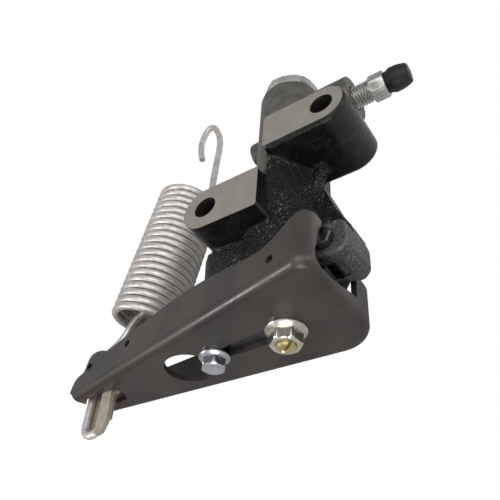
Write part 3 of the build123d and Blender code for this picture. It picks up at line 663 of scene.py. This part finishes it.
@dataclass
class Casting:
    """The painted iron casting: cast skin made from the solid, then its machined faces cut crisp.

    The solid's pads are raised and its bolt holes narrowed first, so that there is metal left to machine.
    """

    voxel: float = 0.9
    fettle: tuple = (0.5, 2)  # strength and rounds of smoothing
    corner: float = 1e-6  # metres within which two points of the solid are one
    pad_raise: float = 2.5
    hole_narrow: float = 1.2
    on_pad: float = 0.02  # depth of a point that still lies on a pad
    on_wall: float = 0.05  # distance from a hole's wall of a point that lies on it
    # places on the casting
    barrel_r: float = 17.2
    barrel_wall: float = 3.0
    ear: tuple = (29.0, 17.0)
    ear_hole_r: float = 5.5
    ear_r: float = 11.6
    ear_back_z: float = -27.0
    drill_span: tuple = (-56.0, 2.0)
    neck_x: float = -1.7
    lug_x: float = 15.4
    lug_top_y: float = -36.0
    # how far from the ears the neck's skin, the housing's skin and the turned barrel start
    neck_gap: float = 0.5
    housing_gap: float = 0.3
    barrel_gap: float = 0.4
    # relief of the coarse skin, its share elsewhere, and cell and weight of each noise
    rough_mm: float = 0.16
    fine_skin: float = 0.1
    lumps: tuple = (5.0, 0.9)
    sand: tuple = (1.9, 1.1)
    lattice: int = 32
    seed: int = 7
    # how near a machined surface a face has to lie, and how level or steep it has to be
    barrel_skin: float = 0.9
    top_skin: float = 0.01
    hole_skin: float = 0.1
    level: float = 0.9
    steep: float = 0.5
    sharp_deg: float = 38.0

    def build(self) -> None:
        """Make the skin, place it, drill it and sort its faces."""
        mesh = self.blank()
        self.grain(mesh)
        self.machine(mesh)
        paints = ("casting", "pad", "barrel", "bare casting", "drilled", "rough casting")
        piece = place(mesh, paints, "valve", "casting", "valve_body")
        self.drill(piece)
        self.sort_faces(mesh)

    def blank(self) -> Mesh:
        """Copy the solid, raise its pads and narrow its bolt holes, and give it one even cast skin."""
        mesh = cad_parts["valve_body"].data.copy()
        mesh.materials.clear()
        points = points_of(mesh)
        points[points[:, 2] > -self.on_pad, 2] += self.pad_raise
        for side in (1, -1):
            centre = side * np.array(self.ear)
            away = points[:, :2] - centre
            wall = np.abs(np.linalg.norm(away, axis=1) - self.ear_hole_r) < self.on_wall
            points[wall, :2] = centre + away[wall] * (self.ear_hole_r - self.hole_narrow) / self.ear_hole_r
        move_points(mesh, points)
        with editing(mesh) as edit:
            bmesh.ops.remove_doubles(edit, verts=edit.verts, dist=self.corner)
        work = stand("blank", mesh)
        remesh = work.modifiers.new("skin", "REMESH")
        remesh.mode = "VOXEL"
        remesh.voxel_size = self.voxel * MM
        smooth = work.modifiers.new("fettle", "SMOOTH")
        smooth.factor, smooth.iterations = self.fettle
        shaped = self.applied(work)
        bpy.data.objects.remove(work)
        shaped.name = "casting_skin.001"
        return shaped

    @staticmethod
    def applied(piece: bpy.types.Object) -> Mesh:
        """The mesh that an object has after its modifiers."""
        return bpy.data.meshes.new_from_object(piece.evaluated_get(bpy.context.evaluated_depsgraph_get()))

    def lattice_noise(self, points: np.ndarray, cell: float, seed: int) -> np.ndarray:
        """Smooth noise of -1 to 1: random values at the corners of cells, eased between by 3t^2 - 2t^3."""
        values = np.random.default_rng(seed).uniform(-1, 1, (self.lattice,) * 3)
        scaled = points / cell
        base = np.floor(scaled).astype(int)
        t = scaled - base
        t = 3 * t ** 2 - 2 * t ** 3
        total = np.zeros(len(points))
        for corner in np.ndindex(2, 2, 2):
            weight = np.prod(np.where(np.array(corner) == 1, t, 1 - t), axis=1)
            index = (base + np.array(corner)) % self.lattice
            total += weight * values[index[:, 0], index[:, 1], index[:, 2]]
        return total

    def grain(self, mesh: Mesh) -> None:
        """Move the skin along its normals by lumps and sand, strongest on the neck and the lower housing."""
        points = points_of(mesh)
        lumps = self.lumps[1] * self.lattice_noise(points, self.lumps[0], self.seed)
        sand = self.sand[1] * self.lattice_noise(points, self.sand[0], self.seed + 1)
        from_bore = np.hypot(points[:, 0] - BORE[0], points[:, 2] - BORE[1])
        share = np.where(self.coarse_skin(*points.T), 1.0, self.fine_skin)
        share[from_bore < self.barrel_r - self.barrel_wall] = 0.0
        height = share * self.rough_mm * (lumps + sand)
        move_points(mesh, points + vectors(mesh.vertices, "normal") * height[:, None])

    def coarse_skin(self, x: np.ndarray, y: np.ndarray, z: np.ndarray) -> np.ndarray:
        """Tell where the sand skin is coarse: the neck's front, and the housing below the lower ear."""
        housing = y < -self.ear[1] - self.ear_r - self.housing_gap
        below_ear = y < self.ear[1] - self.ear_r - self.neck_gap
        neck = below_ear & (z > self.ear_back_z) & ((x > self.neck_x) | housing)
        return (neck | housing) & ~((x > self.lug_x) & (y < self.lug_top_y))

    def machine(self, mesh: Mesh) -> None:
        """Cut the raised ears back to the pads' plane and close the cut with flat faces."""
        up = (0, 0, 1)
        with editing(mesh) as edit:
            everything = edit.verts[:] + edit.edges[:] + edit.faces[:]
            bmesh.ops.bisect_plane(edit, geom=everything, plane_co=(0, 0, 0), plane_no=up, clear_outer=True)
            rim = [edge for edge in edit.edges if edge.is_boundary]
            bmesh.ops.triangle_fill(edit, use_beauty=True, edges=rim, normal=up)

    def drill(self, piece: bpy.types.Object) -> None:
        """Open the bolt holes to size with a pair of cylinders."""
        low, high = self.drill_span
        heights = np.array([low, low, high, high])
        radii = np.array([0.0, self.ear_hole_r, self.ear_hole_r, 0.0])
        pair = bmesh.new()
        for side in (1, -1):
            spot = (side * self.ear[0], side * self.ear[1], 0.0)
            pair.from_mesh(turned("drill", spot, Axis.PLUS_Z, heights, radii))
        tool = stand("drills", bpy.data.meshes.new("drills"))
        pair.to_mesh(tool.data)
        pair.free()
        cut = piece.modifiers.new("drill", "BOOLEAN")
        cut.operation = "DIFFERENCE"
        cut.object = tool
        cut.solver = "EXACT"
        shaped = bmesh.new()
        shaped.from_mesh(self.applied(piece))
        piece.modifiers.clear()
        shaped.to_mesh(piece.data)
        shaped.free()
        bpy.data.objects.remove(tool)

    def sort_faces(self, mesh: Mesh) -> None:
        """Give each face its finish by where it lies: later lines take faces away from earlier ones."""
        x, y, z = (vectors(mesh.polygons, "center") / MM).T
        upward = vectors(mesh.polygons, "normal")[:, 2]
        from_bore = np.hypot(x - BORE[0], z - BORE[1])
        on_barrel = (np.abs(from_bore - self.barrel_r) < self.barrel_skin) & (y > self.ear[1])
        finish = np.where(self.coarse_skin(x, y, z), Skin.COARSE, Skin.PAINTED).astype(np.int32)
        finish[(y > self.ear[1] + self.ear_r + self.barrel_gap) | on_barrel] = Skin.BARREL
        finish[(x > self.lug_x) & (y < self.lug_top_y)] = Skin.LUG
        finish[(z > -self.top_skin) & (upward > self.level)] = Skin.PAD
        # hole walls and the bore's inside take the dark drilled finish: painted shade in the holes
        for side in (1, -1):
            reach = np.hypot(x - side * self.ear[0], y - side * self.ear[1])
            finish[(reach < self.ear_hole_r + self.hole_skin) & (np.abs(upward) < self.steep)] = Skin.DRILLED
        finish[from_bore < self.barrel_r - self.barrel_wall] = Skin.DRILLED
        mesh.polygons.foreach_set("material_index", finish)
        mesh.shade_smooth()
        mesh.set_sharp_from_angle(angle=math.radians(self.sharp_deg))


@dataclass
class LoadSpring:
    """Close-wound tension spring: coil, open upper hook and long lower loop in one wire.

    The hook's points stand from the coil's top, those of the rise from its lower end.
    """

    wire_r: float = 1.95
    coil_r: float = 16.3
    plane_z: float = -45.0
    top: tuple = (-81.9, 55.9)
    low: tuple = (-100.7, -29.5)
    turns: int = 20
    turn_steps: int = 44
    hook: tuple = ((15.0, 2.7), (15.25, 12.7), (15.8, 24.7), (16.4, 35.9), (15.8, 44.7), (13.4, 53.3),
                   (9.5, 61.0), (5.9, 62.6), (3.1, 59.4), (0.9, 51.0), (1.3, 42.7), (3.2, 33.5))
    rise: tuple = ((-25.5, -39.1), (-25.5, -27.5), (-24.9, -17.5), (-23.0, -11.0), (-17.8, -7.1),
                   (-12.9, -2.8), (-7.9, 5.9), (-2.3, 9.4), (4.4, 10.2), (10.9, 7.8))
    lead_in: tuple = (14.4, 2.0, -1.6)
    loop_x: float = -121.25
    loop_y: float = -79.7
    loop_r: float = 4.95
    loop_end: float = 12.0
    bow_points: int = 7
    low_steps: int = 10
    top_steps: int = 12

    def build(self) -> None:
        """Place the wire."""
        mesh = wire("spring_wire", self.path(), self.wire_r)
        place(mesh, ("galvanised_wire",), "spring", "galvanised_wire", "load_spring")

    def path(self) -> np.ndarray:
        """The wire's middle line: lower loop, its rise into the coil, the turns, and the upper hook."""
        low, top = np.array([*self.low, self.plane_z]), np.array([*self.top, self.plane_z])
        up = (top - low) / np.linalg.norm(top - low)
        side = np.array([up[1], -up[0], 0.0])
        out = np.array([0.0, 0.0, 1.0])
        # the coil: radius turns from the side direction towards +Z while the height climbs evenly
        angle = np.linspace(0, 2 * math.pi * self.turns, self.turn_steps * self.turns + 1)[:, None]
        length = np.linalg.norm(top - low) - 2 * self.wire_r
        climb = self.wire_r + length * angle / angle[-1]
        coil = low + climb * up + self.coil_r * (np.cos(angle) * side + np.sin(angle) * out)
        hook = top + np.array([(x, y, 0.0) for x, y in self.hook])
        # the loop: a free end, a bow of half a turn, and the rise, which leads into the coil's third point
        arc = np.radians(np.linspace(0, 180, self.bow_points))[:, None]
        centre = np.array([self.loop_x, self.loop_y, self.plane_z])
        bow = centre + self.loop_r * np.hstack([np.cos(arc), -np.sin(arc), 0 * arc])
        free_end = bow[0] + np.array([[0.0, self.loop_end, 0.0], [0.0, self.loop_end / 2, 0.0]])
        rise = low + np.array([(x, y, 0.0) for x, y in self.rise] + [self.lead_in])
        lower = smooth_path(np.vstack([free_end, bow, rise, coil[2]]), self.low_steps)[:-1]
        upper = smooth_path(np.vstack([coil[-2], coil[-1], hook]), self.top_steps)[self.top_steps:]
        return np.vstack([lower, coil[2:-1], upper])


@dataclass
class ReturnSpring:
    """Return spring between the piston's head and its seat: open turns between two closed ends."""

    wire_r: float = 0.8
    wire_sides: int = 10
    coil_r: float = 6.35
    head_y: float = 46.05
    seat_y: float = 67.55
    turns: int = 7
    turn_steps: int = 30
    end_pitch: float = 2.1
    keep: float = 0.855

    def build(self) -> None:
        """Place the wire, and give its object a mesh of its own."""
        mesh = wire("return_spring_wire", self.path(), self.wire_r, self.wire_sides)
        piece = place(mesh, ("spring_steel",), "valve", "spring_steel", "return_spring")
        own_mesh(piece)

    def path(self) -> np.ndarray:
        """The wire's middle line: a circle about the bore's axis that climbs slowly in both end turns."""
        turn = np.linspace(0, self.turns, self.turn_steps * self.turns + 1)
        low, high, end = self.head_y + self.wire_r, self.seat_y - self.wire_r, self.end_pitch * self.wire_r
        height = np.interp(turn, [0, 1, self.turns - 1, self.turns], [low, low + end, high - end, high])
        angle = 2 * math.pi * turn
        return np.stack([BORE[0] + self.coil_r * np.cos(angle), height,
                         BORE[1] + self.coil_r * np.sin(angle)], -1)


@dataclass
class Fasteners:
    """Nut, bolt, plug, bleeder and cap: turned profiles, some cut to a hexagon and one with a thread.

    A profile's row is a height and a radius. A third value is a hexagon that the row's circle is cut to.
    """

    web_y: float = -66.6
    clamp: tuple = (-46.0, -38.7)
    shank: float = 8.6
    sides: int = 144
    plug_y: float = 83.6
    bleed_y: float = 63.8
    boss_x: float = 30.5
    cap_x: float = 47.6
    thread_from: float = -9.0
    thread_to: float = 7.9
    thread_step: float = 0.1875
    pitch: float = 1.5
    root_r: float = 5.05
    thread_depth: float = 0.9
    crisp_deg: float = 28.0
    soft_deg: float = 40.0

    def build(self) -> None:
        """Place them all."""
        self.flange_nut()
        self.clamp_bolt()
        self.end_plug()
        self.bleeder()
        self.cap()

    def profile(self, rows: list) -> tuple:
        """Heights of a profile's rows, and their radius at every angle."""
        radii = [np.minimum(row[2], row[1]) if len(row) > 2 else np.full(self.sides, row[1]) for row in rows]
        return np.array([row[0] for row in rows]), np.array(radii)

    def flange_nut(self) -> None:
        """M8 flange nut: rimmed flange, cone, chamfered hexagon and the mouth of its thread."""
        hexa = hexagon(self.sides, across_flats=12.6, turn_deg=8.0)
        rows = [(0.0, 4.0), (0.0, 8.6), (0.15, 8.95), (0.95, 8.95), (1.25, 8.7), (2.3, 7.3), (2.5, 7.1, hexa),
                (6.9, 7.1, hexa), (7.35, 6.75, hexa), (7.8, 6.1, hexa), (7.8, 4.9), (7.3, 4.1), (7.2, 4.0)]
        mesh = turned("flange_nut_turned", (BORE[0], self.web_y, BORE[1]), Axis.MINUS_Y, *self.profile(rows),
                      closed=True, sharp_deg=self.crisp_deg)
        place(mesh, ("warm_zinc",), "lever", "zinc", "flange_nut")

    def clamp_bolt(self) -> None:
        """M6 flange bolt: shank through the web, rimmed flange, chamfered hexagon, dished top."""
        hexa = hexagon(self.sides, across_flats=10.0, turn_deg=20.0)
        rows = [(-self.shank, 0.0), (-self.shank, 2.5), (-self.shank + 0.5, 3.0), (-0.3, 3.0), (0.0, 3.1),
                (0.0, 6.8), (0.15, 7.1), (0.85, 7.1), (1.1, 6.9), (1.9, 5.8), (2.1, 5.65, hexa),
                (5.5, 5.65, hexa), (5.95, 5.3, hexa), (6.3, 4.75, hexa), (6.4, 4.5), (6.4, 3.6), (6.1, 3.0),
                (6.1, 0.0)]
        mesh = turned("clamp_bolt_turned", (self.clamp[0], self.web_y, self.clamp[1]), Axis.MINUS_Y,
                      *self.profile(rows), sharp_deg=self.crisp_deg)
        place(mesh, ("zinc",), "lever", "zinc", "clamp_bolt")

    def end_plug(self) -> None:
        """Bore plug: hollow shank, and a wide hexagon whose corners are chamfered off above."""
        hexa = hexagon(self.sides, across_flats=30.5, turn_deg=-7.0)
        rows = [(-5.0, 0.0), (-5.0, 7.0), (-13.0, 7.0), (-13.0, 11.0), (-12.5, 11.5), (1.4, 11.5),
                (1.4, 16.0, hexa), (1.9, 16.8, hexa), (5.6, 17.2, hexa), (7.9, 15.6, hexa), (8.9, 14.7),
                (9.4, 13.6), (9.4, 0.0)]
        mesh = turned("end_plug_turned", (BORE[0], self.plug_y, BORE[1]), Axis.PLUS_Y, *self.profile(rows),
                      sharp_deg=self.crisp_deg)
        place(mesh, ("plug",), "valve", "zinc", "end_plug")

    def bleeder(self) -> None:
        """Bleeder screw: thread as a triangle wave of height less turn, neck, hexagon and nipple."""
        turn = np.arange(self.sides) / self.sides
        thread_h = np.arange(self.thread_from, self.thread_to, self.thread_step)
        wave = np.abs(((thread_h[:, None] / self.pitch - turn[None, :]) % 1.0) * 2 - 1)
        hexa = hexagon(self.sides, across_flats=13.0, turn_deg=12.0)
        tip = self.profile([(-10.0, 0.0), (-10.0, 4.4), (-9.2, self.root_r)])
        head = self.profile([
            (8.0, 5.0), (9.0, 5.0), (9.0, 6.3, hexa), (9.5, 7.1, hexa), (16.5, 7.1, hexa), (17.1, 6.4, hexa),
            (17.1, 3.6), (22.4, 3.6), (22.5, 4.1), (23.8, 4.0), (24.0, 3.5), (25.4, 3.3), (25.9, 2.7),
            (25.9, 0.0),
        ])
        heights = np.concatenate([tip[0], thread_h, head[0]])
        radii = np.vstack([tip[1], self.root_r + self.thread_depth * wave, head[1]])
        mesh = turned("bleeder_screw_turned", (self.boss_x, self.bleed_y, BORE[1]), Axis.PLUS_X,
                      heights, radii, sharp_deg=self.soft_deg)
        place(mesh, ("satin_zinc",), "bleeder", "zinc", "bleeder_screw")

    def cap(self) -> None:
        """Rubber cap: a collar against the hexagon, its widest ring, a taper and a flat dotted end."""
        inner = [(9.4, 0.0), (9.4, 4.2), (9.0, 4.5)]
        outer = [(0.6, 4.55), (0.2, 4.8), (0.2, 5.3), (0.5, 5.55), (1.6, 5.7), (2.4, 6.1), (3.1, 6.4),
                 (4.2, 6.48), (6.6, 6.4), (8.6, 6.1), (10.4, 5.6), (11.7, 5.05), (12.1, 4.7), (12.2, 4.3),
                 (12.2, 1.1), (11.9, 0.9), (11.6, 0.8), (11.5, 0.0)]
        heights, radii = np.array(inner + outer).T
        mesh = turned("bleeder_cap_turned", (self.cap_x, self.bleed_y, BORE[1]), Axis.PLUS_X, heights, radii,
                      sharp_deg=self.soft_deg)
        place(mesh, ("rubber",), "cap", "rubber", "bleeder_cap")


@dataclass
class HookBush:
    """Nylon bush in the tip's notch, whose back wall runs up through it, behind the loop's strands."""

    wall_z: float = -47.0
    wall_top_y: float = -69.6
    on_top: float = 0.2
    raised_y: float = -57.0
    left_x: float = -121.0
    widen: float = 3.6
    sharp_deg: float = 20.0

    def build(self) -> None:
        """Copy the solid's corners and triangles, carry its back wall further, and place it."""
        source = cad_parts["hook_bush"].data
        points = points_of(source)
        corners = np.empty(len(source.loops), np.int32)
        source.loops.foreach_get("vertex_index", corners)
        wall = points[:, 2] < self.wall_z
        points[wall & (points[:, 0] < self.left_x), 0] -= self.widen
        points[wall & (np.abs(points[:, 1] - self.wall_top_y) < self.on_top), 1] = self.raised_y
        mesh = mesh_from("hook_bush_moulded", points * MM, corners.reshape(-1, 3), self.sharp_deg)
        place(mesh, ("nylon",), "lever", "nylon", "hook_bush")


@dataclass
class Carried:
    """The solids that keep their own shape, each with its finish."""

    paints: dict = field(default_factory=lambda: {
        "plug_gasket": "copper", "port_seats": "brass", "guide_bush": "bronze", "wiper_seal": "seal_rubber",
        "circlip": "spring_steel", "valve_seal": "seal_rubber", "spring_seat": "steel",
        "pivot_pin": "spring_steel", "pin_clip": "spring_steel", "piston": "steel",
        "piston_seals": "seal_rubber", "rocker": "spring_steel", "rocker_bush": "bronze",
        "lever_pan": "black_paint", "tip_pin": "spring_steel", "adjuster_screw": "yellow_zinc",
    })

    def build(self) -> None:
        """Give each solid its finish."""
        for node, paint in self.paints.items():
            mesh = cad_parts[node].data
            mesh.materials.clear()
            mesh.materials.append(painted(paint))
            log.info("solid %s wears %s", node, paint)


@dataclass
class Studio:
    """Pale table, soft lamps and the camera at the photograph's angle.

    A lamp has a name, a place, a width and a power. A fade has a direction and the two distances along it
    between which the tone changes.
    """

    image_px: float = 500.0
    focal_px: float = 630.55
    centre_px: tuple = (251.32, 249.29)
    eye: tuple = (104.8, -210.9, 145.5)
    right: tuple = (0.8329, 0.0572, -0.5504)
    down: tuple = (-0.3274, -0.7509, -0.5735)
    ahead: tuple = (-0.4461, 0.6579, -0.6067)
    clip_start: float = 0.01
    table_size: float = 3.0
    table_gap: float = 0.0005
    # tones that only reflections and bounce light see, never the camera: painted reflections and painted
    # shade on the model
    near_reflected_tone: str = "#a2a2a2"
    far_reflected_tone: str = "#f0f0f0"
    off_reflected_shade: str = "#202020"
    back_fade: tuple = ((0.56, 0.83, 0.0), (-0.06, 0.08))
    off_fade: tuple = ((-0.47, -0.88, 0.0), (0.13, 0.30))
    matt: float = 0.9
    sky: float = 0.48
    aim: tuple = (-0.03, 0.02, -0.03)
    hung: tuple = (
        ("key", (0.25, -0.15, 0.75), 0.7, 4.2),
        ("side", (0.75, 0.10, 0.25), 0.5, 1.4),
        ("bend_strip", (-0.60, -0.40, 0.42), 0.16, 2.2),
        ("low_front", (0.05, -0.75, 0.10), 0.35, 2.2),
    )

    def build(self) -> None:
        """Set the table, the lamps, the world and the camera."""
        self.table()
        for lamp in self.hung:
            self.lamp(*lamp)
        self.world()
        self.camera()
        bpy.context.scene.view_settings.view_transform = "Standard"

    def table(self) -> None:
        """A wide pale sheet under the lowest point of the model."""
        low = min(corner[2] for corner in CAD_BOX) - self.table_gap
        half = self.table_size / 2
        corners = np.array([(-half, -half, low), (half, -half, low), (half, half, low), (-half, half, low)])
        mesh = mesh_from("table_top", corners, np.array([[0, 1, 2, 3]]), sharp_deg=30.0)
        mesh.materials.append(self.white())
        stand("table_top", mesh)

    def white(self) -> bpy.types.Material:
        """Matt sheet: white to the camera, but to reflections and bounce light grey in front of the model,
        paler behind and dark far off, which are painted reflections and painted shade on the model.
        """
        made = bpy.data.materials.new("white studio sheet")
        tree = empty_tree(made)
        out = add_node(tree, "ShaderNodeOutputMaterial")
        near_and_far_reflected = blend(tree, self.fade(tree, *self.back_fade), linear(self.near_reflected_tone), linear(self.far_reflected_tone))
        tone = blend(tree, self.fade(tree, *self.off_fade), near_and_far_reflected, linear(self.off_reflected_shade))
        sheet = add_node(tree, "ShaderNodeBsdfPrincipled", {"Base Color": tone, "Roughness": self.matt})
        glow = add_node(tree, "ShaderNodeEmission", {"Color": WHITE, "Strength": 1.0})
        ray = add_node(tree, "ShaderNodeLightPath")
        mixed = add_node(tree, "ShaderNodeMixShader", {
            0: ray.outputs["Is Camera Ray"], 1: sheet.outputs[0], 2: glow.outputs[0],
        })
        tree.links.new(mixed.outputs[0], out.inputs["Surface"])
        return made

    @staticmethod
    def fade(tree: Tree, direction: tuple, distances: tuple) -> Socket:
        """Rise from 0 to 1, eased, between two distances along a direction."""
        spot = add_node(tree, "ShaderNodeTexCoord")
        along = add_node(tree, "ShaderNodeVectorMath", {0: spot.outputs["Object"], 1: direction},
                         operation="DOT_PRODUCT")
        return mapped(tree, along.outputs["Value"], distances, interpolation_type="SMOOTHSTEP")

    def world(self) -> None:
        """Surround the model with an even pale sky."""
        world = bpy.data.worlds.new("soft box")
        bpy.context.scene.world = world
        tree = empty_tree(world)
        out = add_node(tree, "ShaderNodeOutputWorld")
        sky = add_node(tree, "ShaderNodeBackground", {"Color": WHITE, "Strength": self.sky})
        tree.links.new(sky.outputs[0], out.inputs["Surface"])

    def lamp(self, name: str, spot: tuple, size: float, watts: float) -> None:
        """Hang one square lamp that faces the model's middle."""
        data = bpy.data.lights.new(name, "AREA")
        data.size = size
        data.energy = watts
        away = np.array(spot) - np.array(self.aim)
        away /= np.linalg.norm(away)
        self.turn(stand(name, data), np.column_stack([*across(away), away]), spot)

    @staticmethod
    def turn(thing: bpy.types.Object, axes: np.ndarray, spot: tuple) -> None:
        """Stand a lamp or the camera at a spot, its own axes as an array's columns."""
        thing.matrix_world = Matrix([[*row, at] for row, at in zip(axes, spot)] + [[0, 0, 0, 1]])

    def camera(self) -> None:
        """Stand the camera where straight edges and holes of the photograph put it."""
        data = bpy.data.cameras.new("photo view")
        data.sensor_fit = "HORIZONTAL"
        data.lens = self.focal_px * data.sensor_width / self.image_px
        data.shift_x = (self.image_px / 2 - self.centre_px[0]) / self.image_px
        data.shift_y = (self.centre_px[1] - self.image_px / 2) / self.image_px
        data.clip_start = self.clip_start
        camera = stand("photo view", data)
        axes = np.column_stack([self.right, -np.array(self.down), -np.array(self.ahead)])
        self.turn(camera, axes, tuple(at * MM for at in self.eye))
        bpy.context.scene.camera = camera


def main() -> None:
    """Build the sub-assemblies in order, then the studio."""
    for part in (Carried(), Casting(), Fasteners(), LoadSpring(), ReturnSpring(), HookBush(), Studio()):
        log.info("building %s", type(part).__name__)
        part.build()


if __name__ == "__main__":
    main()
